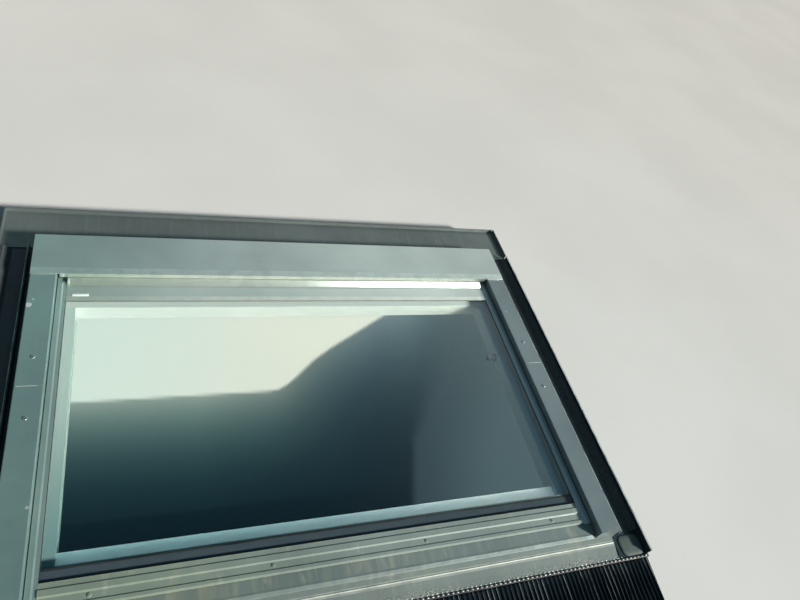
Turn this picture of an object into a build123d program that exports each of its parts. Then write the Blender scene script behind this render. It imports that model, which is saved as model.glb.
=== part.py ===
from build123d import *
import math
import os

os.makedirs("parts", exist_ok=True)

# Centre-pivot roof window with its flashing, lying in the roof plane.
# +X runs along the eaves, +Y up the slope, +Z out of the roof.
# z = 0 is the top of the roof battens, the underside of the fixing brackets.

# ------------------------------------------------------------------ driving dimensions (mm)
W_OUT = 1340.0          # outside width over the side covers
H_OUT = 978.0           # outside height over hood and lower frame cover
Z_COVER = 60.0          # top of the side covers
Z_ROOM = -50.0          # room-side face of the frame
FRAME_X = 664.0         # outer face of the side frame members
FRAME_XI = 614.0        # inner face of the side frame members
FRAME_Y = 485.0         # outer faces of the top and bottom frame members
FRAME_YT = 407.0        # inner face of the top frame member
FRAME_YB = -449.0       # inner face of the bottom frame member
Z_SIDE = 57.0           # top of the side and top frame members
Z_BOT = 32.4            # top of the bottom frame member

SASH_X = 606.0          # outer faces of the sash sides
SASH_XI = 568.0         # inner faces of the sash sides
SASH_YT = 402.0         # upper face of the sash
SASH_YB = -444.0        # lower face of the sash
SASH_YTI = 272.0        # inner edge, top
SASH_YBI = -335.0       # inner edge, bottom
Z_SASH = -34.0          # room-side face of the sash
LEDGE = 12.0            # glazing ledge
UPSTAND_X = 600.0       # inner face of the rebate beside the glass

PIVOT_Y = 15.0          # turning axis of the sash
PIVOT_Z = -2.0
PIN_R = 6.0
PIN_CLEAR = 0.25

PANE = 4.0              # pane thickness
CAVITY = 16.0
PANE_X = 598.0
PANE_YT = 300.0
PANE_YB = -402.0
GLASS_TOP = LEDGE + 2 * PANE + CAVITY

COVER_T = 1.2           # folded cladding
HOOD_T = 1.5
FLASH_T = 1.0
HOOD_Y = 345.0          # front edge of the hood
SIDE_W = 58.0           # visible width of a side cover

GUTTER_Z = 7.0          # underside of the side gutters
GUTTER_X = 752.0
CRIMP_Y = -541.0        # edge where the pleated apron is crimped in
APRON_END = -705.0
PLEAT = 12.0

BAR_OPEN = 25.0         # control bar: angle between pushed home and pulled
FLAP_OPEN = 16.0        # vent flap: angle it opens
BAR_Y, BAR_Z = 392.0, -22.0
RECESS_Y = 320.0        # room-side recess behind the control bar, for the fingers
FLAP_Y, FLAP_Z = 388.0, 39.6
LATCH_TRAVEL = 12.0
BOLT_TRAVEL = 14.0
SASH_TURN = 160.0
BOLT_DY, BOLT_DZ = 70.0, -8.0    # barrel bolt, measured from the pivot


# ------------------------------------------------------------------ helpers
def box(x0, x1, y0, y1, z0, z1):
    return Pos((x0 + x1) / 2, (y0 + y1) / 2, (z0 + z1) / 2) * Box(abs(x1 - x0), abs(y1 - y0), abs(z1 - z0))


def cyl_x(x0, x1, y, z, r):
    return Pos((x0 + x1) / 2, y, z) * Rot(0, 90, 0) * Cylinder(r, abs(x1 - x0))


def cyl_y(y0, y1, x, z, r):
    return Pos(x, (y0 + y1) / 2, z) * Rot(90, 0, 0) * Cylinder(r, abs(y1 - y0))


def cyl_z(z0, z1, x, y, r):
    return Pos(x, y, (z0 + z1) / 2) * Cylinder(r, abs(z1 - z0))


def poly_face(pts, rounds=None):
    f = make_face(Polyline(*[(a, b, 0) for a, b in pts], close=True))
    if isinstance(f, Sketch):
        f = f.faces()[0]
    for (a, b), r in (rounds or []):
        v = min(f.vertices(), key=lambda q: (q.X - a) ** 2 + (q.Y - b) ** 2)
        f = f.fillet_2d(r, [v])
    return f


def along_x(pts, x0, x1, rounds=None):
    """Profile in (Y, Z), pushed along X."""
    return extrude(Plane(origin=(x0, 0, 0), x_dir=(0, 1, 0), z_dir=(1, 0, 0)) * poly_face(pts, rounds),
                   amount=x1 - x0)


def along_y(pts, y0, y1, rounds=None):
    """Profile in (X, Z), pushed along Y."""
    return extrude(Plane(origin=(0, y1, 0), x_dir=(1, 0, 0), z_dir=(0, -1, 0)) * poly_face(pts, rounds),
                   amount=y1 - y0)


def fold(path, t, r=None):
    """Closed outline of a folded sheet: path is its outer skin, the metal lies to the right of
    travel. Returns (outline, corner radii)."""
    n = len(path)
    dirs = []
    for i in range(n - 1):
        dx, dy = path[i + 1][0] - path[i][0], path[i + 1][1] - path[i][1]
        L = math.hypot(dx, dy)
        dirs.append((dx / L, dy / L))
    inner = []
    for i in range(n):
        if i == 0:
            d = dirs[0]
            inner.append((path[0][0] + d[1] * t, path[0][1] - d[0] * t))
        elif i == n - 1:
            d = dirs[-1]
            inner.append((path[-1][0] + d[1] * t, path[-1][1] - d[0] * t))
        else:
            a, b = dirs[i - 1], dirs[i]
            nx, ny = a[1] + b[1], -a[0] - b[0]
            L = math.hypot(nx, ny)
            nx, ny = nx / L, ny / L
            c = nx * a[1] - ny * a[0]
            inner.append((path[i][0] + nx * t / c, path[i][1] + ny * t / c))
    rounds = []
    if r:
        for i in range(1, n - 1):
            a, b = dirs[i - 1], dirs[i]
            turn = a[0] * b[1] - a[1] * b[0]
            if abs(turn) < 1e-6:
                continue
            if turn < 0:           # the metal is on the inside of the bend
                rounds.append((path[i], r + t))
                rounds.append((inner[i], r))
            else:
                rounds.append((path[i], r))
                rounds.append((inner[i], r + t))
    return path + inner[::-1], rounds


def one(shape):
    """A single solid from the result of a boolean."""
    s = shape.solids()
    return s[0] if len(s) == 1 else Compound(children=list(s))


nodes = {}


def put(name, *shapes):
    solids = []
    for s in shapes:
        solids += list(s.solids())
    nodes[name] = solids


def flip(s):
    return mirror(s, about=Plane.YZ)


# ------------------------------------------------------------------ fixed frame, timber
side_profile = [(FRAME_XI + 3, Z_ROOM), (FRAME_X - 2, Z_ROOM), (FRAME_X, Z_ROOM + 2), (FRAME_X, Z_SIDE),
                (FRAME_XI, Z_SIDE), (FRAME_XI, -32.0), (FRAME_XI + 10, -32.0), (FRAME_XI + 10, -42.0),
                (FRAME_XI, -42.0), (FRAME_XI, Z_ROOM + 3)]
side_member = along_y(side_profile, -FRAME_Y, FRAME_Y)
top_profile = [(FRAME_YT + 3, Z_ROOM), (FRAME_Y - 2, Z_ROOM), (FRAME_Y, Z_ROOM + 2), (FRAME_Y, Z_SIDE),
               (FRAME_YT + 6, Z_SIDE), (FRAME_YT, Z_SIDE - 6), (FRAME_YT, -32.0), (FRAME_YT + 10, -32.0),
               (FRAME_YT + 10, -42.0), (FRAME_YT, -42.0), (FRAME_YT, Z_ROOM + 3)]
top_member = along_x(top_profile, -FRAME_XI, FRAME_XI)
bottom_profile = [(FRAME_YB - 3, Z_ROOM), (FRAME_YB, Z_ROOM + 3), (FRAME_YB, -42.0), (FRAME_YB - 10, -42.0),
                  (FRAME_YB - 10, -32.0), (FRAME_YB, -32.0), (FRAME_YB, Z_BOT),
                  (-FRAME_Y + 6, Z_BOT), (-FRAME_Y, Z_BOT - 6.4),
                  (-FRAME_Y, Z_ROOM + 2), (-FRAME_Y + 2, Z_ROOM)]
bottom_member = along_x(bottom_profile, -FRAME_XI, FRAME_XI)

# hinge plates let into the inner faces, one pin through each
HP_L, HP_H, HP_T = 55.0, 13.5, 3.0
plate_outline = box(FRAME_XI, FRAME_XI + HP_T, PIVOT_Y - HP_L, PIVOT_Y + HP_L, PIVOT_Z - HP_H, PIVOT_Z + HP_H)
plate_outline = fillet(plate_outline.edges().filter_by(Axis.X), 7.0)
pin = cyl_x(590.0, 642.0, PIVOT_Y, PIVOT_Z, PIN_R)
pin = chamfer(pin.edges().sort_by(Axis.X)[0], 1.0)
frame_plate = plate_outline - pin

fit_screws_frame = []       # countersunk fitting screws in the frame, right side
for dy in (-42.0, 42.0):
    for dz in (-8.0, 8.0):
        s = cyl_x(FRAME_XI, FRAME_XI + 1.6, PIVOT_Y + dy, PIVOT_Z + dz, 3.6) + \
            cyl_x(FRAME_XI + 1.6, FRAME_XI + 26, PIVOT_Y + dy, PIVOT_Z + dz, 1.9)
        fit_screws_frame.append(one(s))
for s in fit_screws_frame:
    frame_plate = frame_plate - s
right_member = side_member - plate_outline - pin
for s in fit_screws_frame:
    right_member = right_member - s
left_member_base = flip(right_member)

# bushes for the barrel bolt: one for the shut sash, one for the sash turned over
th = math.radians(SASH_TURN)
bolt_y0, bolt_z0 = PIVOT_Y + BOLT_DY, PIVOT_Z + BOLT_DZ
bolt_y1 = PIVOT_Y + BOLT_DY * math.cos(th) + BOLT_DZ * math.sin(th)
bolt_z1 = PIVOT_Z - BOLT_DY * math.sin(th) + BOLT_DZ * math.cos(th)
bushes = []
for by, bz in ((bolt_y0, bolt_z0), (bolt_y1, bolt_z1)):
    outer = cyl_x(FRAME_XI, FRAME_XI + 1.5, by, bz, 11.0) + cyl_x(FRAME_XI + 1.5, FRAME_XI + 18, by, bz, 8.0)
    bushes.append(one(outer - cyl_x(FRAME_XI - 1, FRAME_XI + 15, by, bz, 5.6)))
    right_member = right_member - outer
put("bolt_bushes", *bushes)

# cover screws: pan heads on the side covers and in the hood's sides
def cross_z(x, y, z0, z1, r):
    return (box(x - r, x + r, y - 0.45, y + 0.45, z0, z1) + box(x - 0.45, x + 0.45, y - r, y + r, z0, z1))


def pan_z(x, y, z):
    head = cyl_z(z, z + 2.2, x, y, 4.6)
    head = fillet(head.edges().group_by(Axis.Z)[-1], 1.4)
    return one(head + cyl_z(z - 26, z, x, y, 2.0) - cross_z(x, y, z + 0.9, z + 3, 2.3))


def pan_x(x, y, z):
    head = cyl_x(x, x + 2.2, y, z, 4.6)
    head = fillet(head.edges().sort_by(Axis.X)[-1], 1.4)
    cross = box(x + 0.9, x + 3, y - 2.3, y + 2.3, z - 0.45, z + 0.45) + box(x + 0.9, x + 3, y - 0.45, y + 0.45, z - 2.3, z + 2.3)
    return one(head + cyl_x(x - 28, x, y, z, 2.0) - cross)


side_screws = [pan_z(640.0, 92.0, Z_COVER), pan_z(640.0, -66.0, Z_COVER)]
hood_screws = [pan_x(W_OUT / 2, 380.0, 42.0), pan_x(W_OUT / 2, 452.0, 42.0)]
for s in side_screws + hood_screws:
    right_member = right_member - s
    left_member_base = left_member_base - flip(s)

# fixing brackets: galvanised angles, leg on the frame side, foot on the battens
BR_Y, BR_W = 330.0, 30.0


def bracket(yc):
    leg = box(FRAME_X, FRAME_X + 2, yc - BR_W, yc + BR_W, -42.0, 2.0)
    foot = box(FRAME_X, 748.0, yc - BR_W, yc + BR_W, 0.0, 2.0)
    b = leg + foot
    b = fillet([e for e in b.edges().filter_by(Axis.Z) if e.center().X > 740], 8.0)
    b = fillet([e for e in b.edges().filter_by(Axis.X) if e.center().Z < -40], 8.0)
    b = fillet([e for e in b.edges().filter_by(Axis.Y) if abs(e.center().X - FRAME_X) < 0.1 and abs(e.center().Z - 2) < 0.1], 1.5)
    for hx in (700.0, 730.0):
        b = b - cyl_z(-1, 3, hx, yc, 3.5)
    return b


def leg_screws(yc):
    out = []
    for dy, z in ((-18.0, -13.0), (18.0, -13.0), (0.0, -30.0)):
        head = cyl_x(FRAME_X + 2, FRAME_X + 4.6, yc + dy, z, 5.0)
        head = fillet(head.edges().sort_by(Axis.X)[-1], 1.2)
        out.append(one(head + cyl_x(FRAME_X - 32, FRAME_X + 2, yc + dy, z, 2.4)))
    return out


brackets, bscrews = {}, []
for tag, yc in (("top", BR_Y), ("bottom", -BR_Y)):
    b = bracket(yc)
    sc = leg_screws(yc)
    for s in sc:
        b = b - s
        right_member = right_member - s
        left_member_base = left_member_base - flip(s)
    brackets[tag] = b
    bscrews += sc + [flip(s) for s in sc]
put("bracket_top_right", brackets["top"])
put("bracket_bottom_right", brackets["bottom"])
put("bracket_top_left", flip(brackets["top"]))
put("bracket_bottom_left", flip(brackets["bottom"]))
put("bracket_screws", *bscrews)

# strike plate and its mortise in the top member
strike = box(-45, 45, FRAME_YT, FRAME_YT + 2.5, -20, 14)
strike = fillet(strike.edges().filter_by(Axis.Y), 5.0)
mortise = box(-18, 18, FRAME_YT - 1, FRAME_YT + 22, -8.5, 2.5)
strike_screws = []
for sx in (-34.0, 34.0):
    strike_screws.append(one(cyl_y(FRAME_YT, FRAME_YT + 1.6, sx, -3.0, 3.6) +
                             cyl_y(FRAME_YT + 1.6, FRAME_YT + 26, sx, -3.0, 1.9)))
top_member = top_member - strike - mortise
strike_plate = strike - mortise
for s in strike_screws:
    top_member = top_member - s
    strike_plate = strike_plate - s
put("strike_plate", strike_plate)

put("frame_right_member", right_member)
put("frame_left_member", left_member_base)
put("frame_top_member", top_member)
put("frame_bottom_member", bottom_member)
put("hinge_frame_plate_right", frame_plate)
put("hinge_frame_plate_left", flip(frame_plate))
put("pivot_pins", pin, flip(pin))
put("frame_fitting_screws", *(fit_screws_frame + [flip(s) for s in fit_screws_frame] + strike_screws))

# ------------------------------------------------------------------ cladding of the frame
outline, rr = fold([(612.0, 30.0), (612.0, Z_COVER), (W_OUT / 2, Z_COVER), (W_OUT / 2, 8.0)], COVER_T, 1.4)
upper = along_y(outline, PIVOT_Y + 0.8, HOOD_Y + 2.5, rr)
lower = along_y(outline, -H_OUT / 2, PIVOT_Y - 0.8, rr)
cap_end = box(613.0, 669.0, -H_OUT / 2, -H_OUT / 2 + COVER_T, 30.5, Z_COVER - 0.6)
lower = lower + cap_end
lower = lower - box(668.0, 671.0, -490.0, -484.0, 7.0, 16.0) - box(611.0, 614.0, -487.0, -446.0, 29.0, 35.2)
upper = upper - side_screws[0]
lower = lower - side_screws[1]
put("right_upper_cover", upper)
put("right_lower_cover", lower)
put("left_upper_cover", flip(upper))
put("left_lower_cover", flip(lower))
clip = box(616.0, 667.0, PIVOT_Y - 12, PIVOT_Y + 12, Z_SIDE, Z_COVER - COVER_T) + \
    box(626.0, 666.0, PIVOT_Y - 0.7, PIVOT_Y + 0.7, Z_COVER - COVER_T, Z_COVER + 0.3)
put("cover_joint_clips", clip, flip(clip))

hood_path = [(HOOD_Y, 62.0), (366.0, 63.6), (482.0, 63.6), (H_OUT / 2, 57.0), (H_OUT / 2, 25.0)]
outline, rr = fold(hood_path, HOOD_T, None)
hood = along_x(outline, -W_OUT / 2, W_OUT / 2, [((366.0, 63.6), 30.0), ((482.0, 63.6), 5.0), ((H_OUT / 2, 57.0), 5.0)])
hood = hood + box(-606, 606, HOOD_Y, HOOD_Y + HOOD_T, 50.0, 61.6)
skirt = along_x([(349.0, 12.0), (488.0, 12.0), (488.0, 56.8), (481.4, 62.8), (366.0, 62.8), (349.0, 61.4)],
                W_OUT / 2 - HOOD_T, W_OUT / 2)
hood = hood + skirt + flip(skirt)
for s in hood_screws:
    hood = hood - s - flip(s)
put("hood", hood)

outline, rr = fold([(-451.0, 34.0), (-482.0, 34.0), (-H_OUT / 2, 28.0), (-H_OUT / 2, 15.0)][::-1], COVER_T, None)
bottom_cover = along_x(outline, -611.0, 611.0)
bottom_cover = bottom_cover + box(-668.4, 668.4, -H_OUT / 2, -H_OUT / 2 + COVER_T, 15.0, 28.0)
put("bottom_frame_cover", bottom_cover)

put("cover_screws", *(side_screws + hood_screws + [flip(s) for s in side_screws + hood_screws]))

# ------------------------------------------------------------------ flashing
zf = GUTTER_Z
flange = box(664.6, 665.8, -485.6, 484.0, zf, 30.0)
floor = box(664.6, GUTTER_X, -485.6, 545.0, zf, zf + FLASH_T)
rib = along_y([(685.6, zf + 0.5), (686.8, 38.0), (687.4, 39.2), (688.6, 39.2), (689.2, 38.0), (690.4, zf + 0.5)],
              -486.0, 484.0)
outer_up = along_y([(GUTTER_X - 1, zf), (756.0, 30.0), (753.6, 30.0), (753.4, 31.2), (757.4, 31.2), (757.4, 30.0),
                    (752.4, zf)], CRIMP_Y, 484.0)
low_floor = box(672.6, GUTTER_X, CRIMP_Y, -485.0, zf, zf + FLASH_T)
low_edge = box(672.6, 673.6, CRIMP_Y, -487.0, zf, zf + 5)
g_hem = box(672.6, 757.4, CRIMP_Y - 6, CRIMP_Y + 0.8, zf - 2.2, zf + 2.2)
g_hem = fillet(g_hem.edges().filter_by(Axis.X), 1.0)
gutter = flange + floor + rib + outer_up + low_floor + low_edge + g_hem
put("flashing_right", gutter)
put("flashing_left", flip(gutter))

foam = along_y([(728.0, zf + 1), (750.8, zf + 1), (753.9, 22.0), (746.0, 24.0)], -480.0, 480.0)
put("foam_strip_right", foam)
put("foam_strip_left", flip(foam))

sill_path = [(CRIMP_Y, 8.4), (-524.0, 9.6), (-503.4, 12.0), (-501.2, 14.0), (-499.0, 12.6), (-486.9, 13.8), (-486.9, 27.0)]
outline, rr = fold(sill_path, FLASH_T, None)
sill = along_x(outline, -671.0, 671.0)
for sx in (-1, 1):
    sill = sill - box(sx * 668.2, sx * 672.0, -488.0, -485.0, 12.0, 28.0)
s_hem = box(-671.0, 671.0, CRIMP_Y - 6, CRIMP_Y + 0.8, zf - 2.2, zf + 2.2)
s_hem = fillet(s_hem.edges().filter_by(Axis.X), 1.0)
put("flashing_sill", sill + s_hem)

tray = box(-757.0, 757.0, 486.0, 625.0, 9.4, 10.4)
tray = tray + box(-664.0, 664.0, 486.0, 487.1, 9.4, 46.0)
tray = tray + along_x([(625.0, 9.4), (629.0, 20.0), (626.4, 20.6), (626.4, 19.6), (627.9, 19.3), (624.2, 10.4)], -757.0, 757.0)
for sx in (-1, 1):
    edge = along_y([(757.0, 9.4), (760.0, 24.0), (757.6, 24.6), (757.6, 23.6), (758.9, 23.2), (756.2, 10.4)], 492.0, 625.0)
    tray = tray + (edge if sx > 0 else flip(edge))
put("flashing_top", tray)

# pleated apron: a zigzag sheet that runs down the slope from the crimped edge
n_pleat = int(round(2 * 755.0 / PLEAT))
amp, at = 3.2, 1.1
up_pts, dn_pts = [], []
for i in range(2 * n_pleat + 1):
    x = -755.0 + i * (2 * 755.0) / (2 * n_pleat)
    z = zf - amp / 2 + (amp if i % 2 else 0.0) - at / 2
    up_pts.append((x, z + at))
    dn_pts.append((x, z))
apron_face = poly_face(up_pts + dn_pts[::-1])
start_y = CRIMP_Y - 6.0
L = start_y - APRON_END
drop = 15.0
pl = Plane(origin=(0, start_y, 0), x_dir=(1, 0, 0), z_dir=(0, -1, 0))
apron = extrude(pl * apron_face, amount=math.hypot(L, drop), dir=(0, -L / math.hypot(L, drop), -drop / math.hypot(L, drop)))
put("pleated_apron", apron)

# ------------------------------------------------------------------ sash, timber
sp = [(SASH_XI + 4, Z_SASH), (SASH_X - 3, Z_SASH), (SASH_X, Z_SASH + 3), (SASH_X, 34.0), (UPSTAND_X, 34.0),
      (UPSTAND_X, LEDGE), (SASH_XI, LEDGE), (SASH_XI, Z_SASH + 4)]
s_side = along_y(sp, -364.0, SASH_YTI)
s_side = s_side + box(UPSTAND_X, SASH_X, -404.0, -363.9, LEDGE, 34.0) + box(UPSTAND_X, SASH_X, SASH_YTI - 0.1, 302.0, LEDGE, 34.0)
sash_plate_outline = box(SASH_X - HP_T, SASH_X, PIVOT_Y - HP_L, PIVOT_Y + HP_L, PIVOT_Z - HP_H, PIVOT_Z + HP_H)
sash_plate_outline = fillet(sash_plate_outline.edges().filter_by(Axis.X), 7.0)
hub = cyl_x(589.0, SASH_X - 1.0, PIVOT_Y, PIVOT_Z, 10.0)
sash_plate = sash_plate_outline + hub
s_side = s_side - sash_plate
sash_plate = sash_plate - cyl_x(580.0, 610.0, PIVOT_Y, PIVOT_Z, PIN_R + PIN_CLEAR)
sash_fit = []
for dy in (-42.0, 42.0):
    for dz in (-8.0, 8.0):
        s = cyl_x(SASH_X - 1.6, SASH_X, PIVOT_Y + dy, PIVOT_Z + dz, 3.6) + \
            cyl_x(SASH_X - 22, SASH_X - 1.6, PIVOT_Y + dy, PIVOT_Z + dz, 1.9)
        sash_fit.append(one(s))
for s in sash_fit:
    sash_plate = sash_plate - s
    s_side = s_side - s
# side gasket groove
groove = box(SASH_X - 4, SASH_X + 1, -440.0, 335.0, -29.0, -22.0)
s_side = s_side - groove
s_left = flip(s_side)
# barrel bolt sleeve on the right
sleeve_out = cyl_x(565.0, 568.0, bolt_y0, bolt_z0, 12.0) + cyl_x(568.0, 605.6, bolt_y0, bolt_z0, 8.0)
sleeve = sleeve_out - cyl_x(560.0, 610.0, bolt_y0, bolt_z0, 5.3)
s_side = s_side - cyl_x(567.9, 610.0, bolt_y0, bolt_z0, 8.0)
put("bolt_case", sleeve)
bolt = cyl_x(545.0, 605.0, bolt_y0, bolt_z0, 5.0)
bolt = chamfer(bolt.edges().sort_by(Axis.X)[-1], 1.2)
knob = cyl_x(543.0, 549.0, bolt_y0, bolt_z0, 9.0)
knob = fillet(knob.edges(), 1.5)
put("barrel_bolt", bolt + knob)
put("sash_right_member", s_side)
put("sash_left_member", s_left)
put("hinge_sash_plate_right", sash_plate)
put("hinge_sash_plate_left", flip(sash_plate))

polyA = [(SASH_YBI, Z_SASH + 4), (SASH_YBI, 0.0), (-364.0, 0.0), (-364.0, LEDGE), (-404.0, LEDGE), (-404.0, 34.0),
         (SASH_YB, 34.0), (SASH_YB, Z_SASH + 3), (SASH_YB + 3, Z_SASH), (SASH_YBI - 4, Z_SASH)]
polyB = [(-364.0, Z_SASH), (-364.0, LEDGE), (-404.0, LEDGE), (-404.0, 34.0), (SASH_YB, 34.0), (SASH_YB, Z_SASH + 3),
         (SASH_YB + 3, Z_SASH)]
s_bot = along_x(polyA, -SASH_XI, SASH_XI) + along_x(polyB, SASH_XI - 0.1, SASH_X) + along_x(polyB, -SASH_X, -SASH_XI + 0.1)
s_bot = s_bot - box(-SASH_X + 12, SASH_X - 12, SASH_YB - 1, SASH_YB + 4, 2.0, 10.0)
s_bot = s_bot - groove - flip(groove)
put("sash_bottom_member", s_bot)

polyT = [(SASH_YTI, Z_SASH + 4), (SASH_YTI, LEDGE), (302.0, LEDGE), (302.0, 36.0), (SASH_YT, 36.0), (SASH_YT, -16.0),
         (RECESS_Y, -16.0), (RECESS_Y, Z_SASH), (SASH_YTI + 4, Z_SASH)]
s_top = along_x(polyT, -SASH_X, SASH_X)
s_top = s_top - box(-32, 32, 350, SASH_YT + 1, -14, 8)
s_top = s_top - box(-450, 450, 358, 384, 24, 37)
for sx in (-1, 1):
    s_top = s_top - box(sx * 70, sx * 440, 363, 379, -20, 25)
s_top = s_top - box(-SASH_X + 12, SASH_X - 12, SASH_YT - 4, SASH_YT + 1, 14, 22)
s_top = s_top - groove - flip(groove)

# lock case and tongue
case = box(-31.5, 31.5, 350.5, 401.6, -13.6, 7.6)
case = case - box(-16.4, 16.4, 353.0, 405.0, -6.4, 0.4)
put("lock_case", case)
tongue = box(-16.0, 16.0, 357.0, 400.8, -6.0, 0.0)
tongue = chamfer([e for e in tongue.edges().filter_by(Axis.X) if e.center().Y > 400], 1.2)
put("latch_tongue", tongue)

# vent filter cassette with the flap's end lugs
cassette = box(-450, 450, 358, 384, 24, 36)
for sx in (-1, 1):
    lug = box(454, 457.5, 380, 393, 36.0, 43.6) + box(440, 457.5, 376, 393, 36.0, 37.2)
    lug = lug - cyl_x(450, 460, FLAP_Y, FLAP_Z, 1.8)
    cassette = cassette + (lug if sx > 0 else flip(lug))
put("vent_filter_cassette", cassette)

# vent flap, standing open at rest
flap = box(-452, 452, 356, FLAP_Y, 38.6, 40.1)
flap = flap + cyl_x(-452, 452, FLAP_Y, FLAP_Z, 2.2) + box(-452, 452, 356, 357.4, 38.6, 42.4)
flap = flap + cyl_x(451, 456.6, FLAP_Y, FLAP_Z, 1.5) + cyl_x(-456.6, -451, FLAP_Y, FLAP_Z, 1.5)
flap = flap.rotate(Axis((0, FLAP_Y, FLAP_Z), (1, 0, 0)), -FLAP_OPEN)
put("vent_flap", flap)

# control bar, standing pulled at rest
bar = box(-470, 470, 350, BAR_Y, BAR_Z - 2.5, BAR_Z + 2.5) + cyl_x(-470, 470, 350, BAR_Z, 5.0) + \
    cyl_x(-470, 470, BAR_Y, BAR_Z, 4.0) + cyl_x(-481, 481, BAR_Y, BAR_Z, 3.0)
bar = bar.rotate(Axis((0, BAR_Y, BAR_Z), (1, 0, 0)), BAR_OPEN)
put("control_bar", bar)


def bar_bracket():
    b = box(474, 480, 383, 401.5, -29, -16) + box(479.9, 506, 383, 401.5, -18, -16)
    return b - cyl_x(470, 482, BAR_Y, BAR_Z, 3.3)


bb = bar_bracket()
bb_screws = []
for sx in (487.5, 499.5):
    bb_screws.append(one(cyl_z(-20.2, -18, sx, 392.0, 3.4) + cyl_z(-18, 6, sx, 392.0, 1.9)))
for s in bb_screws:
    bb = bb - s
    s_top = s_top - s - flip(s)
put("bar_bracket_right", bb)
put("bar_bracket_left", flip(bb))
put("sash_top_member", s_top)
put("sash_fitting_screws", *(sash_fit + [flip(s) for s in sash_fit] + bb_screws + [flip(s) for s in bb_screws]))

# ------------------------------------------------------------------ sealed glazing unit
outer_pane = box(-PANE_X, PANE_X, PANE_YB, PANE_YT, LEDGE + PANE + CAVITY, GLASS_TOP)
inner_pane = box(-PANE_X, PANE_X, PANE_YB, PANE_YT, LEDGE, LEDGE + PANE)
put("outer_pane", outer_pane)
put("inner_pane", inner_pane)
z0, z1 = LEDGE + PANE, LEDGE + PANE + CAVITY
seal = box(-PANE_X, PANE_X, PANE_YB, PANE_YT, z0, z1) - box(-594, 594, -378, 296, z0 - 1, z1 + 1)
put("edge_seal", seal)
spacer = box(-594, 594, -378, 296, z0, z1) - box(-590, 590, -374, 292, z0 - 1, z1 + 1)
put("spacer_bar", spacer)
bead = box(-596, 596, -401.5, 283, GLASS_TOP, GLASS_TOP + 1.2) - box(-588.8, 588.8, -398.8, 274.8, 30, 40)
put("glazing_gasket", bead)

# ------------------------------------------------------------------ cladding of the sash
outline, rr = fold([(590.0, 38.4), (597.0, 38.4), (600.5, 40.0), (610.0, 40.0), (610.0, 28.0)], COVER_T, None)
s_cov = along_y(outline, -454.0, 352.0) - box(608.0, 611.0, -455.0, -444.5, 27.0, 36.4)
put("sash_right_cover", s_cov)
put("sash_left_cover", flip(s_cov))
outline, rr = fold([(276.0, 38.4), (324.0, 38.4), (345.0, 46.8), (353.0, 47.0)], COVER_T, None)
t_cov = along_x(outline, -589.4, 589.4, [((324.0, 38.4), 20.0), ((345.0, 46.8), 12.0)])
put("sash_top_cover", t_cov)
bc_path = [(-452.6, 36.6), (-450.0, 41.2), (-443.6, 41.2), (-441.0, 38.6), (-427.0, 38.6), (-424.4, 41.2), (-413.0, 41.2),
           (-410.4, 38.4), (-400.0, 38.4)]
outline, rr = fold(bc_path, COVER_T, None)
b_cov = along_x(outline, -589.4, 589.4)
sc_list = []
for sx in (-505.0, -170.0, 170.0, 505.0):
    head = cyl_z(38.6, 40.4, sx, -434.0, 3.6)
    head = fillet(head.edges().group_by(Axis.Z)[-1], 1.0)
    s = one(head + cyl_z(18, 38.6, sx, -434.0, 1.8) - cross_z(sx, -434.0, 39.4, 41.0, 1.9))
    sc_list.append(s)
    b_cov = b_cov - s
for s in sc_list:
    s_bot = s_bot - s
put("sash_bottom_member", s_bot)
put("sash_bottom_cover", b_cov)
put("sash_cover_screws", *sc_list)

# ------------------------------------------------------------------ sash gaskets
gr = box(SASH_X - 4, 611.6, -440.0, 335.0, -29.0, -22.0) - box(608.4, 620.0, -441.0, 336.0, -27.0, -24.0)
put("sash_gasket_right", gr)
put("sash_gasket_left", flip(gr))
gt = box(-SASH_X + 12, SASH_X - 12, SASH_YT - 4, 405.8, 14, 22) - box(-SASH_X, SASH_X, 403.5, 407, 16.5, 19.5)
put("sash_gasket_top", gt)
gb = box(-SASH_X + 12, SASH_X - 12, -448.2, SASH_YB + 4, 2, 10) - box(-SASH_X, SASH_X, -449, -445.5, 4.5, 7.5)
put("sash_gasket_bottom", gb)

# ------------------------------------------------------------------ write one file per sub-part
for old in os.listdir("parts"):
    if old.endswith(".step") and old[:-5] not in nodes:
        os.remove(os.path.join("parts", old))
for name, solids in nodes.items():
    shape = solids[0] if len(solids) == 1 else Compound(children=solids)
    export_step(shape, "parts/%s.step" % name)
print(len(nodes), "nodes written")
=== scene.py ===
import math
import random

import bmesh
import bpy
import numpy as np
from mathutils import Matrix, Vector


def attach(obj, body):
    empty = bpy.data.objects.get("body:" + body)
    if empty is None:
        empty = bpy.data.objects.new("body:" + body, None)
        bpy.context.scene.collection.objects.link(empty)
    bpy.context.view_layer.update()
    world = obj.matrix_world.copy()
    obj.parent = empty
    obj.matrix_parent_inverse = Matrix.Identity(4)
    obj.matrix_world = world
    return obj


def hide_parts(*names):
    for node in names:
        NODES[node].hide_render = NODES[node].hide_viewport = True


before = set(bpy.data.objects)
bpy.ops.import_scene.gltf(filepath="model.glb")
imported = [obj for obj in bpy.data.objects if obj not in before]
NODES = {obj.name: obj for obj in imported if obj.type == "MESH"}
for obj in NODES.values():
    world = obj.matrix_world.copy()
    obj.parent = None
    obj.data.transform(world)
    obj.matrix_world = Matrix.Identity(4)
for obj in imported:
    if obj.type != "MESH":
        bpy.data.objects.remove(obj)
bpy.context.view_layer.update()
SC = bpy.context.scene


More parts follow.
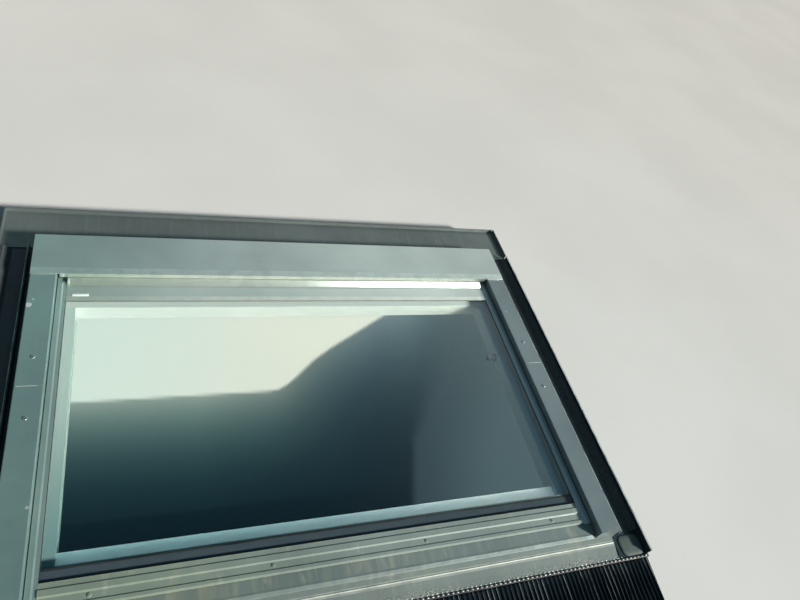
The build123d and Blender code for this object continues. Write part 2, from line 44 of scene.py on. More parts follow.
# ---------------------------------------------------------------- material helpers
class Mat:
    """A material and the few calls that build its nodes."""

    def __init__(self, name):
        self.m = bpy.data.materials.new(name)
        self.m.use_nodes = True
        self.t = self.m.node_tree
        self.t.nodes.clear()
        self.out = self.t.nodes.new("ShaderNodeOutputMaterial")
        self.tc = self.t.nodes.new("ShaderNodeTexCoord")
        self.p = self.t.nodes.new("ShaderNodeBsdfPrincipled")
        self.t.links.new(self.p.outputs[0], self.out.inputs[0])
        self.obj = self.tc.outputs["Object"]

    def link(self, a, b):
        self.t.links.new(a, b)

    def put(self, socket, value):
        if hasattr(value, "is_output"):
            self.link(value, socket)
        elif isinstance(value, (tuple, list)) and len(value) == 3 and socket.type == "RGBA":
            socket.default_value = (*value, 1.0)
        else:
            socket.default_value = value

    def set(self, **kw):
        names = {"base": "Base Color", "rough": "Roughness", "metal": "Metallic", "ior": "IOR",
                 "spec": "Specular IOR Level", "coat": "Coat Weight", "coat_rough": "Coat Roughness",
                 "trans": "Transmission Weight", "normal": "Normal", "sheen": "Sheen Weight",
                 "sheen_rough": "Sheen Roughness", "aniso": "Anisotropic", "alpha": "Alpha"}
        for k, v in kw.items():
            self.put(self.p.inputs[names[k]], v)
        return self

    def scaled(self, s, turn=(0, 0, 0), shift=(0, 0, 0), src=None):
        n = self.t.nodes.new("ShaderNodeMapping")
        n.inputs["Scale"].default_value = s if isinstance(s, (tuple, list)) else (s, s, s)
        n.inputs["Rotation"].default_value = turn
        n.inputs["Location"].default_value = shift
        self.link(src or self.obj, n.inputs["Vector"])
        return n.outputs[0]

    def noise(self, scale, detail=3.0, rough=0.5, vec=None, distort=0.0, colour=False):
        n = self.t.nodes.new("ShaderNodeTexNoise")
        if isinstance(scale, (tuple, list)):
            vec = self.scaled(scale, src=vec)
            scale = 1.0
        n.inputs["Scale"].default_value = scale
        n.inputs["Detail"].default_value = detail
        n.inputs["Roughness"].default_value = rough
        n.inputs["Distortion"].default_value = distort
        self.link(vec or self.obj, n.inputs["Vector"])
        return n.outputs["Color" if colour else "Fac"]

    def voronoi(self, scale, vec=None, feature="F1", out="Distance", rand=1.0):
        n = self.t.nodes.new("ShaderNodeTexVoronoi")
        n.feature = feature
        if isinstance(scale, (tuple, list)):
            vec = self.scaled(scale, src=vec)
            scale = 1.0
        n.inputs["Scale"].default_value = scale
        n.inputs["Randomness"].default_value = rand
        self.link(vec or self.obj, n.inputs["Vector"])
        return n.outputs[out]

    def wave(self, scale, vec=None, distort=0.0, detail=2.0, dscale=1.0, kind="BANDS", axis="X", profile="SIN"):
        n = self.t.nodes.new("ShaderNodeTexWave")
        n.wave_type = kind
        n.wave_profile = profile
        if kind == "BANDS":
            n.bands_direction = axis
        n.inputs["Scale"].default_value = scale
        n.inputs["Distortion"].default_value = distort
        n.inputs["Detail"].default_value = detail
        n.inputs["Detail Scale"].default_value = dscale
        self.link(vec or self.obj, n.inputs["Vector"])
        return n.outputs["Fac"]

    def ramp(self, fac, stops, smooth=False):
        n = self.t.nodes.new("ShaderNodeValToRGB")
        r = n.color_ramp
        if smooth:
            r.interpolation = "EASE"
        while len(r.elements) > 1:
            r.elements.remove(r.elements[-1])
        first = True
        for pos, col in stops:
            c = (col, col, col, 1.0) if isinstance(col, (int, float)) else (*col, 1.0)
            if first:
                r.elements[0].position, r.elements[0].color, first = pos, c, False
            else:
                e = r.elements.new(pos)
                e.color = c
        self.link(fac, n.inputs[0])
        return n.outputs[0]

    def span(self, fac, a, b, lo=0.0, hi=1.0):
        n = self.t.nodes.new("ShaderNodeMapRange")
        n.interpolation_type = "SMOOTHSTEP"
        n.inputs["From Min"].default_value = a
        n.inputs["From Max"].default_value = b
        n.inputs["To Min"].default_value = lo
        n.inputs["To Max"].default_value = hi
        self.link(fac, n.inputs["Value"])
        return n.outputs["Result"]

    def math(self, op, a, b=None, c=None, clamp=False):
        n = self.t.nodes.new("ShaderNodeMath")
        n.operation = op
        n.use_clamp = clamp
        for i, v in enumerate((a, b, c)):
            if v is not None:
                self.put(n.inputs[i], v)
        return n.outputs[0]

    def mix(self, fac, a, b, kind="MIX"):
        n = self.t.nodes.new("ShaderNodeMix")
        n.data_type = "RGBA"
        n.blend_type = kind
        self.put(n.inputs[0], fac)
        self.put(n.inputs[6], a)
        self.put(n.inputs[7], b)
        return n.outputs[2]

    def xyz(self, vec=None):
        n = self.t.nodes.new("ShaderNodeSeparateXYZ")
        self.link(vec or self.obj, n.inputs[0])
        return n.outputs

    def up(self, a=0.55, b=0.9):
        """1 on faces that look out of the roof."""
        return self.span(self.xyz(self.tc.outputs["Normal"])[2], a, b)

    def edges(self, radius=0.0012, lo=0.03, hi=0.35):
        """1 along sharp edges, from the difference between the true and the rounded normal."""
        g = self.t.nodes.new("ShaderNodeNewGeometry")
        b = self.t.nodes.new("ShaderNodeBevel")
        b.samples = 4
        b.inputs["Radius"].default_value = radius
        d = self.t.nodes.new("ShaderNodeVectorMath")
        d.operation = "DOT_PRODUCT"
        self.link(g.outputs["True Normal"], d.inputs[0])
        self.link(b.outputs[0], d.inputs[1])
        return self.span(self.math("SUBTRACT", 1.0, d.outputs["Value"]), lo, hi)

    def bump(self, height, strength=0.3, dist=0.0005, normal=None):
        n = self.t.nodes.new("ShaderNodeBump")
        n.inputs["Strength"].default_value = strength
        n.inputs["Distance"].default_value = dist
        self.link(height, n.inputs["Height"])
        if normal is not None:
            self.link(normal, n.inputs["Normal"])
        return n.outputs[0]

    def spot(self, x, y, r, wobble=0.4, scale=150.0):
        """1 inside a ragged spot round (x, y) of the row frame, whatever its z."""
        n = self.t.nodes.new("ShaderNodeVectorMath")
        n.operation = "SUBTRACT"
        self.link(self.obj, n.inputs[0])
        n.inputs[1].default_value = (x, y, 0.0)
        q = self.xyz(n.outputs[0])
        d = self.math("SQRT", self.math("ADD", self.math("MULTIPLY", q[0], q[0]), self.math("MULTIPLY", q[1], q[1])))
        k = self.math("MULTIPLY", self.math("SUBTRACT", self.noise(scale, 2.0), 0.5), 2.0 * wobble * r)
        return self.span(self.math("ADD", d, k), r, r * 0.7)


def lacquer(name, base, dust=0.25, rough=0.42, streak=0.2, stain=0.0, lime=0.0, spots=(), metal=0.15, along="Y",
            edge=(0.50, 0.52, 0.51), edge_amount=0.55, grime=0.35, edge_radius=0.0012, lines=(), scuff=0.12, grit=None, fine=0.02, vary=1.0, fade=None):
    """Lacquered sheet metal that has lain outdoors: cloudy colour, dust, rain streaks down the slope, pale edges that
    are rubbed wear and also painted edge highlights, bands along folds that are partly painted highlights, and a
    painted shade or light tint that fades across x.
    """
    m = Mat(name)
    cloud = m.noise(2.6, 4.0, 0.55)
    col = m.mix(m.span(cloud, 0.3, 0.7), tuple(c * 0.86 for c in base), tuple(min(1.0, c * 1.12) for c in base))
    fleck = m.noise(420.0, 2.0, 0.6)
    col = m.mix(m.span(fleck, 0.35, 0.75, 0.0, 0.05), col, tuple(min(1, c * 1.6 + 0.02) for c in base))
    up = m.up()
    # grime kept in the corners of broad patches
    patch = m.span(m.noise(3.2, 9.0, 0.62), 0.42, 0.80)
    dusty = m.math("MULTIPLY", m.math("MULTIPLY", patch, up), dust, clamp=True)
    col = m.mix(dusty, col, (0.47, 0.46, 0.41))
    dark = m.span(m.noise(5.0, 9.0, 0.66, vec=m.scaled(1.0, shift=(3.1, 1.7, 0.4))), 0.52, 0.82, 0.0, grime)
    col = m.mix(dark, col, tuple(c * 0.55 for c in base))
    sx = (85.0, 3.2, 30.0) if along == "Y" else (3.2, 85.0, 30.0)
    run = m.span(m.noise(sx, 5.0, 0.6, distort=0.25), 0.5, 0.72)
    runs = m.math("MULTIPLY", m.math("MULTIPLY", run, up), streak, clamp=True)
    col = m.mix(runs, col, (0.40, 0.41, 0.38))
    height = m.noise(620.0, 2.0, 0.5)
    if stain:
        vec = m.scaled((15.0, 2.4, 6.0), shift=(0.37, 0.2, 0.0))
        s1 = m.span(m.noise(1.0, 6.0, 0.62, vec=vec, distort=0.7), 0.53, 0.66)
        s2 = m.span(m.noise((46.0, 5.0, 12.0), 5.0, 0.6, distort=0.5), 0.50, 0.66)
        s = m.math("MULTIPLY", m.math("MAXIMUM", s1, m.math("MULTIPLY", s2, 0.6)), stain, clamp=True)
        tone = m.mix(m.span(m.noise(9.0, 3.0), 0.35, 0.65), (0.36, 0.33, 0.24), (0.56, 0.55, 0.41))
        col = m.mix(s, col, tone)
        dusty = m.math("MAXIMUM", dusty, s)
    if lime:
        l1 = m.span(m.noise((30.0, 11.0, 20.0), 9.0, 0.74), 0.56, 0.64)
        l2 = m.span(m.voronoi(210.0), 0.22, 0.10)
        l3 = m.math("MULTIPLY", l2, m.span(m.noise(16.0, 4.0), 0.45, 0.6))
        ll = m.math("MULTIPLY", m.math("MAXIMUM", l1, l3), lime, clamp=True)
        col = m.mix(ll, col, (0.66, 0.64, 0.55))
        height = m.math("ADD", height, m.math("MULTIPLY", ll, 2.0))
        dusty = m.math("MAXIMUM", dusty, ll)
    # pale edges: rubbed wear, and with a pale edge colour and a high amount also painted edge highlights
    pale_edges = m.math("MULTIPLY", m.edges(edge_radius), m.span(m.noise(60.0, 5.0, 0.7), 0.42, 0.62, 0.35, edge_amount))
    col = m.mix(pale_edges, col, edge)
    # short scuffs
    sc = m.span(m.noise((9.0, 520.0, 260.0), 2.0, 0.5, vec=m.scaled(1.0, turn=(0, 0, 0.62))), 0.70, 0.76, 0.0, scuff)
    sc = m.math("MULTIPLY", sc, m.span(m.noise(6.0, 2.0), 0.5, 0.62))
    col = m.mix(sc, col, tuple(min(1, c * 1.9 + 0.05) for c in base))
    for (x, y, r, c) in spots:
        k = m.spot(x, y, r)
        col = m.mix(m.math("MULTIPLY", k, up), col, c)
    # bands along a fold or edge: (axis, from, to, colour, amount); on the hood, the sash top and right sash covers and
    # the gutter rib these are painted highlights, elsewhere they are plain lighter or darker bands
    q = m.xyz()
    for (ax, a, b, c, amount) in lines:
        soft = min(0.0008, (b - a) / 2)
        v = q["XYZ".index(ax)]
        k = m.math("MULTIPLY", m.span(v, a, a + soft), m.span(v, b, b - soft))
        k = m.math("MULTIPLY", k, m.span(m.noise(24.0, 5.0, 0.7), 0.35, 0.60, amount * 0.45, amount))
        col = m.mix(k, col, c)
    # painted light and shade: towards low x the colour is multiplied by the fade colour, darker on the hood and sash
    # top, yellower on the lower covers
    if fade:
        col = m.mix(m.span(q[0], fade[0], fade[1]), m.mix(1.0, col, fade[2], "MULTIPLY"), col)
    if grit:
        y0, y1, amount = grit
        zone = m.math("MULTIPLY", m.span(q[1], y0 - 0.002, y0 + 0.006), m.span(q[1], y1 + 0.004, y1 - 0.010))
        zone = m.math("MULTIPLY", zone, m.span(m.noise((9.0, 14.0, 10.0), 4.0, 0.6), 0.36, 0.58, 0.25, 1.0))
        sand = m.noise((230.0, 330.0, 200.0), 4.0, 0.75)
        pale = m.math("MULTIPLY", m.span(sand, 0.55, 0.63), zone)
        dark2 = m.math("MULTIPLY", m.span(sand, 0.46, 0.38), zone)
        col = m.mix(m.math("MULTIPLY", pale, amount), col, (0.70, 0.70, 0.60))
        col = m.mix(m.math("MULTIPLY", dark2, amount * 0.8), col, (0.03, 0.035, 0.03))
        height = m.math("ADD", height, m.math("MULTIPLY", zone, m.math("MULTIPLY", sand, 6.0)))
    rr = m.math("ADD", m.span(m.noise(38.0, 6.0, 0.65), 0.25, 0.75, rough - 0.07 * vary, rough + 0.09 * vary),
                m.math("MULTIPLY", dusty, 0.3), clamp=True)
    b = m.bump(m.noise(2.1, 1.0, 0.4), 0.22, 0.004)
    b = m.bump(height, fine, 0.0003, b)
    m.set(base=col, rough=rr, metal=metal, normal=b)
    m.p.inputs["Specular IOR Level"].default_value = 0.5
    return m.m


def timber(name, base, along, dim=(), step=None, fade=None):
    """White lacquered softwood: faint grain that shows through, brush texture, yellowed a little in patches."""
    m = Mat(name)
    s = (1.6, 34.0, 34.0) if along == "X" else (34.0, 1.6, 34.0)
    grain = m.noise(s, 7.0, 0.62, distort=0.35)
    ring = m.wave(1.0, vec=m.scaled((0.9, 26.0, 9.0) if along == "X" else (26.0, 0.9, 9.0)), distort=3.2, detail=3.0,
                  dscale=0.8, axis="Y" if along == "X" else "X")
    col = m.mix(m.span(grain, 0.42, 0.72, 0.0, 0.30), base, (base[0] * 0.86, base[1] * 0.83, base[2] * 0.76))
    col = m.mix(m.span(ring, 0.75, 1.0, 0.0, 0.10), col, (base[0] * 0.80, base[1] * 0.76, base[2] * 0.66))
    col = m.mix(m.span(m.noise(5.0, 3.0), 0.5, 0.8, 0.0, 0.35), col, (base[0], base[1] * 0.985, base[2] * 0.90))
    soil = m.math("MULTIPLY", m.edges(0.0015), m.span(m.noise(45.0, 5.0, 0.7), 0.45, 0.65, 0.1, 0.45))
    col = m.mix(soil, col, (0.50, 0.47, 0.41))
    nx = m.xyz(m.tc.outputs["Normal"])
    # painted shade: faces turned along the given axis and sign are multiplied by a darker, mostly bluer colour
    for (axis, sign, c) in dim:
        k = m.span(nx["XYZ".index(axis)], sign * 0.5, sign * 0.9)
        col = m.mix(k, col, m.mix(1.0, col, c, "MULTIPLY"))
    # painted shade: upward and sideways faces darken down the slope, from fade[0] to fade[1] in y
    if fade:
        k = m.math("MULTIPLY", m.span(m.xyz()[1], fade[0], fade[1]), m.span(m.math("ADD", nx[2], nx[0]), 0.5, 0.9))
        col = m.mix(k, col, m.mix(1.0, col, fade[2], "MULTIPLY"))
    # painted light and shade on the bottom member: the low step is tinted bluish grey, brighter towards +x, and the
    # ledge above it is tinted blue as painted shade
    if step:
        q = m.xyz()
        k = m.math("MULTIPLY", m.span(q[2], step[0], step[0] + 0.001), m.span(q[2], step[1], step[1] - 0.001))
        col = m.mix(m.math("MULTIPLY", k, m.span(q[1], 0.0, -0.1)), col, m.mix(m.math("POWER", m.span(q[0], -0.6, 0.6), 1.8), step[2], step[3]))
        k = m.math("MULTIPLY", m.span(q[2], 0.0090, 0.0105), m.span(q[1], 0.0, -0.1))
        col = m.mix(k, col, (0.36, 0.50, 0.60))
    b = m.bump(grain, 0.16, 0.0005)
    fine = m.noise((18.0, 420.0, 420.0) if along == "X" else (420.0, 18.0, 420.0), 2.0)
    b = m.bump(fine, 0.08, 0.0002, b)
    m.set(base=col, rough=m.span(m.noise(70.0, 4.0), 0.3, 0.7, 0.30, 0.44), normal=b)
    m.set(coat=0.25, coat_rough=0.25)
    return m.m


def metal(name, base, rough=0.32, kind="satin", along="X", tint=None):
    """Bare or plated metal: satin lines, zinc bloom or galvanised spangle."""
    m = Mat(name)
    if kind == "spangle":
        cell = m.voronoi(85.0, out="Color")
        v = m.xyz(cell)[0]
        col = m.mix(m.span(v, 0.0, 1.0), tuple(c * 0.72 for c in base), tuple(min(1, c * 1.18) for c in base))
        bloom = m.span(m.noise(28.0, 7.0, 0.7), 0.5, 0.7, 0.0, 0.5)
        col = m.mix(bloom, col, (0.56, 0.57, 0.56))
        rr = m.math("ADD", m.span(v, 0, 1, rough - 0.06, rough + 0.12), m.math("MULTIPLY", bloom, 0.25), clamp=True)
        b = m.bump(m.voronoi(85.0), 0.08, 0.0004)
    elif kind == "zinc":
        col = m.mix(m.span(m.noise(22.0, 5.0, 0.6), 0.35, 0.7), base, tint or (base[0] * 0.95, base[1] * 0.92, base[2] * 0.78))
        smut = m.span(m.noise(90.0, 6.0, 0.7), 0.58, 0.72, 0.0, 0.4)
        col = m.mix(smut, col, tuple(c * 0.5 for c in base))
        rr = m.math("ADD", m.span(m.noise(60.0, 4.0), 0.3, 0.7, rough - 0.05, rough + 0.1), m.math("MULTIPLY", smut, 0.2), clamp=True)
        b = m.bump(m.noise(900.0, 2.0), 0.08, 0.0002)
    else:
        s = (10.0, 900.0, 900.0) if along == "X" else (900.0, 10.0, 900.0)
        lines = m.noise(s, 3.0, 0.6)
        col = m.mix(m.span(lines, 0.3, 0.7), tuple(c * 0.88 for c in base), tuple(min(1, c * 1.08) for c in base))
        smut = m.span(m.noise(40.0, 6.0, 0.7), 0.55, 0.75, 0.0, 0.25)
        col = m.mix(smut, col, tuple(c * 0.6 for c in base))
        rr = m.math("ADD", m.span(lines, 0.3, 0.7, rough - 0.06, rough + 0.08), m.math("MULTIPLY", smut, 0.2), clamp=True)
        b = m.bump(lines, 0.12, 0.0002)
    pale_edges = m.math("MULTIPLY", m.edges(0.0006), 0.5)
    col = m.mix(pale_edges, col, tuple(min(1, c * 1.25) for c in base))
    m.set(base=col, rough=rr, metal=1.0, normal=b)
    return m.m


def rubber(name, base, rough=0.62, dust=0.3):
    m = Mat(name)
    col = m.mix(m.span(m.noise(35.0, 6.0, 0.7), 0.45, 0.75, 0.0, dust), base, (0.16, 0.16, 0.15))
    col = m.mix(m.span(m.noise(500.0, 2.0), 0.3, 0.7, 0.0, 0.25), col, tuple(c * 1.8 for c in base))
    b = m.bump(m.noise(1100.0, 2.0), 0.15, 0.0002)
    b = m.bump(m.noise(120.0, 3.0), 0.10, 0.0004, b)
    m.set(base=col, rough=m.span(m.noise(80.0, 4.0), 0.3, 0.7, rough - 0.08, rough + 0.12), normal=b)
    return m.m


def plastic(name, base, rough=0.5):
    """Moulded plastic with a spark-eroded grain."""
    m = Mat(name)
    col = m.mix(m.span(m.noise(9.0, 4.0), 0.3, 0.7), tuple(c * 0.92 for c in base), tuple(min(1, c * 1.08) for c in base))
    grain = m.voronoi(1500.0)
    col = m.mix(m.span(grain, 0.2, 0.7, 0.0, 0.15), col, tuple(c * 0.7 for c in base))
    pale_edges = m.math("MULTIPLY", m.edges(0.0008), m.span(m.noise(80.0, 4.0), 0.4, 0.6, 0.2, 0.6))
    col = m.mix(pale_edges, col, tuple(min(1, c * 1.5 + 0.03) for c in base))
    m.set(base=col, rough=m.span(m.noise(60.0, 4.0), 0.3, 0.7, rough - 0.06, rough + 0.1), normal=m.bump(grain, 0.25, 0.00025))
    return m.m


def foamy(name, base, cell=260.0, depth=0.0012):
    """Open foam: round pores of mixed size, darkened inside as painted shade."""
    m = Mat(name)
    v1 = m.voronoi(cell)
    v2 = m.voronoi(cell * 2.7)
    pore = m.math("MULTIPLY", m.span(v1, 0.15, 0.55), m.span(v2, 0.1, 0.5, 0.6, 1.0))
    col = m.mix(pore, tuple(c * 0.35 for c in base), tuple(min(1, c * 1.15) for c in base))
    col = m.mix(m.span(m.noise(14.0, 5.0, 0.6), 0.45, 0.75, 0.0, 0.45), col, (base[0] * 1.1, base[1] * 1.02, base[2] * 0.85))
    m.set(base=col, rough=m.span(v2, 0.0, 0.6, 0.95, 0.8), normal=m.bump(pore, 0.7, depth))
    m.set(sheen=0.2, sheen_rough=0.5)
    return m.m


def glass(name, tint, deep, rough):
    """Float glass: the body tint drifts a little, the surface is very slightly wavy, and lamps shine through it."""
    m = Mat(name)
    col = m.mix(m.span(m.noise(1.7, 2.0), 0.3, 0.7), tint, deep)
    m.set(base=col, trans=1.0, rough=rough)
    m.p.inputs["IOR"].default_value = 1.5
    m.set(normal=m.bump(m.noise(2.4, 1.0, 0.3), 0.04, 0.0012))
    clear = m.t.nodes.new("ShaderNodeBsdfTransparent")
    clear.inputs["Color"].default_value = (0.93, 0.96, 0.95, 1.0)
    ray = m.t.nodes.new("ShaderNodeLightPath")
    blend = m.t.nodes.new("ShaderNodeMixShader")
    m.link(ray.outputs["Is Shadow Ray"], blend.inputs[0])
    m.link(m.p.outputs[0], blend.inputs[1])
    m.link(clear.outputs[0], blend.inputs[2])
    m.link(blend.outputs[0], m.out.inputs[0])
    return m.m


# ---------------------------------------------------------------- materials of the carried-over nodes
# the claddings are one grey lacquer given a different tone per side as painted light and shade: the left covers greener
# and lighter, the right covers bluer and darker
GREY = (0.236, 0.372, 0.353)
M = {}
M["side_cover_left"] = lacquer("frame_lacquer_left", GREY, dust=0.08, streak=0.05, grime=0.15, metal=0.5, rough=0.38, lines=(("Y", 0.3425, 0.3450, (0.50, 0.56, 0.54), 0.8),), spots=[
    (-0.663, 0.245, 0.0085, (0.80, 0.84, 0.82)), (-0.655, 0.262, 0.003, (0.7, 0.74, 0.72)),
    (-0.618, -0.262, 0.004, (0.6, 0.64, 0.62))])
M["side_cover_right"] = lacquer("frame_lacquer_right", (0.250, 0.305, 0.320), dust=0.06, streak=0.05, grime=0.15, metal=0.5, rough=0.38, lines=(("Y", 0.3425, 0.3450, (0.50, 0.56, 0.54), 0.8),), spots=[
    (0.660, -0.482, 0.006, (0.34, 0.37, 0.33)), (0.634, -0.486, 0.005, (0.34, 0.37, 0.33)), (0.628, 0.210, 0.003, (0.5, 0.54, 0.52))])
# hood: the lines are painted highlights on the front band, along the crease and at the back edge, the pale edges are
# partly painted edge highlights, and the fade is painted shade at the left end
M["hood"] = lacquer("hood_lacquer", (0.57, 0.63, 0.59), dust=0.03, streak=0.10, rough=0.30, metal=0.72, grime=0.04, along="X", fine=0.002, vary=0.1, edge=(0.62, 0.66, 0.64),
                    edge_amount=0.8, edge_radius=0.002, scuff=0.0, fade=(-0.66, -0.25, (0.74, 0.84, 0.81)), spots=[(-0.552, 0.384, 0.004, (0.55, 0.60, 0.58)), (-0.540, 0.384, 0.003, (0.55, 0.60, 0.58))],
                    lines=(("Y", 0.3440, 0.3655, (0.84, 0.90, 0.82), 0.85), ("Y", 0.3652, 0.3680, (0.62, 0.68, 0.66), 0.55), ("Y", 0.4800, 0.4890, (0.66, 0.72, 0.70), 0.55)))
# bottom cover: its pale edges are rubbed wear and also painted edge highlights, and the fade is a painted light tint,
# yellower towards the left
M["lower"] = lacquer("lower_lacquer", (0.185, 0.240, 0.236), dust=0.12, streak=0.18, stain=0.30, lime=0.15, rough=0.60, metal=0.3, grime=0.25,
                     edge=(0.60, 0.60, 0.48), edge_amount=0.9, edge_radius=0.0022,
                     lines=(("Y", -0.4880, -0.4770, (0.13, 0.17, 0.172), 0.7),), fade=(-0.50, 0.10, (1.0, 1.0, 0.89)))
# sash side covers: left greener, right bluer, as painted light and shade; the right cover's lines are painted
# highlights along its folds and its pale edges are partly painted edge highlights
M["sash_left"] = lacquer("sash_lacquer_left", (0.31, 0.43, 0.40), dust=0.08, streak=0.06, rough=0.36, metal=0.5, grime=0.15)
M["sash_right"] = lacquer("sash_lacquer_right", (0.38, 0.45, 0.47), dust=0.06, streak=0.06, rough=0.36, metal=0.5, grime=0.15,
                          lines=(("X", 0.5968, 0.5996, (0.62, 0.69, 0.69), 0.9), ("X", 0.6052, 0.6070, (0.56, 0.63, 0.63), 0.8)),
                          edge=(0.55, 0.58, 0.58), edge_amount=0.9)
# sash top cover: its pale base partly stands in for its sheen; the lines are painted highlights on the lower flat and
# on the bent strip, and the fade is painted shade at the left end
M["sash_top"] = lacquer("sash_top_lacquer", (0.71, 0.765, 0.70), dust=0.05, streak=0.0, rough=0.20, along="X", metal=0.62, grime=0.1,
                        edge=(0.6, 0.64, 0.60), lines=(("Y", 0.2750, 0.2905, (0.98, 1.0, 0.88), 0.95), ("Y", 0.3250, 0.3450, (0.90, 1.0, 0.88), 0.9)), fine=0.002, vary=0.2, fade=(-0.60, -0.20, (0.68, 0.74, 0.70)))
# sash bottom cover: its pale edges are rubbed wear and also painted edge highlights, and the fade is a painted light
# tint, yellower towards the left
M["sash_low"] = lacquer("sash_bottom_lacquer", (0.270, 0.335, 0.315), dust=0.15, streak=0.10, stain=0.10, lime=0.18, rough=0.55, along="X",
                        metal=0.3, grime=0.25, edge=(0.66, 0.66, 0.50), edge_amount=0.95, edge_radius=0.0028, fade=(-0.50, 0.10, (0.98, 1.0, 0.87)))
# gutter flashing: near-black to stand in for the shade it lies in (painted shade), with painted highlights along the
# top of the rib as its lines
M["gutter"] = lacquer("gutter_lacquer", (0.014, 0.030, 0.040), dust=0.03, streak=0.03, rough=0.42, grime=0.5, metal=0.0, scuff=0.03,
                      edge=(0.30, 0.34, 0.35), edge_amount=0.9, lines=(("Z", 0.0355, 0.0400, (0.50, 0.58, 0.56), 1.0), ("Z", 0.0272, 0.0330, (0.52, 0.60, 0.60), 1.0)))
M["sill"] = lacquer("sill_lacquer", (0.208, 0.253, 0.242), dust=0.10, streak=0.10, stain=0.12, lime=0.12, rough=0.62, metal=0.3, grime=0.3,
                    edge=(0.58, 0.60, 0.52), edge_amount=0.8, edge_radius=0.002, grit=(-0.5400, -0.5220, 0.8),
                    lines=(("Y", -0.5035, -0.4985, (0.58, 0.62, 0.57), 0.55), ("Y", -0.5085, -0.4960, (0.56, 0.59, 0.53), 0.50)))
M["head"] = lacquer("head_flashing_lacquer", (0.150, 0.180, 0.176), dust=0.10, streak=0.12, rough=0.42, metal=0.45, grime=0.2)
M["timber_x"] = timber("frame_timber_across", (0.80, 0.805, 0.775), "X")
M["timber_y"] = timber("frame_timber_along", (0.80, 0.805, 0.775), "Y")
M["sash_timber_x"] = timber("sash_timber_across", (0.83, 0.835, 0.81), "X")
M["sash_timber_y"] = timber("sash_timber_along", (0.83, 0.835, 0.81), "Y")
M["zinc"] = metal("zinc_plated", (0.60, 0.61, 0.60), 0.34, "zinc")
M["galv"] = metal("galvanised_spangle", (0.56, 0.58, 0.59), 0.38, "spangle")
M["screw"] = metal("stainless_screw", (0.64, 0.65, 0.65), 0.30, "zinc", tint=(0.60, 0.61, 0.62))
M["bar"] = metal("satin_bar", (0.68, 0.69, 0.70), 0.30, "satin", "X")
M["clip"] = lacquer("joint_clip_pale", (0.66, 0.72, 0.69), dust=0.1, streak=0.1, rough=0.4, metal=0.2)
M["flap"] = metal("satin_flap", (0.46, 0.49, 0.50), 0.36, "satin", "X")
M["spacer"] = metal("spacer_anodised", (0.42, 0.45, 0.46), 0.34, "satin", "X")
M["gasket"] = rubber("rubber_gasket", (0.022, 0.023, 0.025))
M["seal"] = rubber("sealant", (0.060, 0.080, 0.100), 0.5, 0.05)
M["lock"] = plastic("moulded_grey", (0.17, 0.18, 0.19))
M["bush"] = plastic("moulded_bush", (0.10, 0.105, 0.11), 0.42)
M["filter"] = foamy("filter_foam", (0.24, 0.245, 0.24), 330.0, 0.0010)
M["foam"] = foamy("strip_foam", (0.028, 0.042, 0.050), 210.0, 0.0016)
M["outer"] = glass("outer_glass", (0.92, 0.945, 0.935), (0.90, 0.935, 0.925), 0.0)
M["inner"] = glass("inner_glass", (0.92, 0.945, 0.94), (0.90, 0.935, 0.935), 0.0)

# the sash and right frame members are copies of one white timber, tinted and darkened per member and per face as
# painted light and shade: the left member greener, the right inner faces bluish dark, the top member's front face
# darker
M["sash_timber_left"] = timber("sash_timber_left", (0.77, 0.835, 0.79), "Y", dim=(("X", 1, (0.58, 0.64, 0.63)), ("Z", 1, (0.93, 0.91, 0.94))), fade=(0.12, -0.42, (0.36, 0.50, 0.54)))
M["sash_timber_right"] = timber("sash_timber_right", (0.80, 0.825, 0.82), "Y", dim=(("X", -1, (0.42, 0.50, 0.58)), ("Z", 1, (0.62, 0.74, 0.88))))
M["sash_timber_low"] = timber("sash_timber_low", (0.82, 0.83, 0.82), "X", step=(-0.0025, 0.0025, (0.42, 0.62, 0.67), (0.97, 0.99, 1.0)))
M["sash_timber_top"] = timber("sash_timber_top", (0.80, 0.80, 0.80), "X", dim=(("Y", -1, (0.75, 0.74, 0.70)),))
M["frame_timber_right"] = timber("frame_timber_right", (0.79, 0.805, 0.79), "Y", dim=(("X", -1, (0.62, 0.68, 0.75)),))

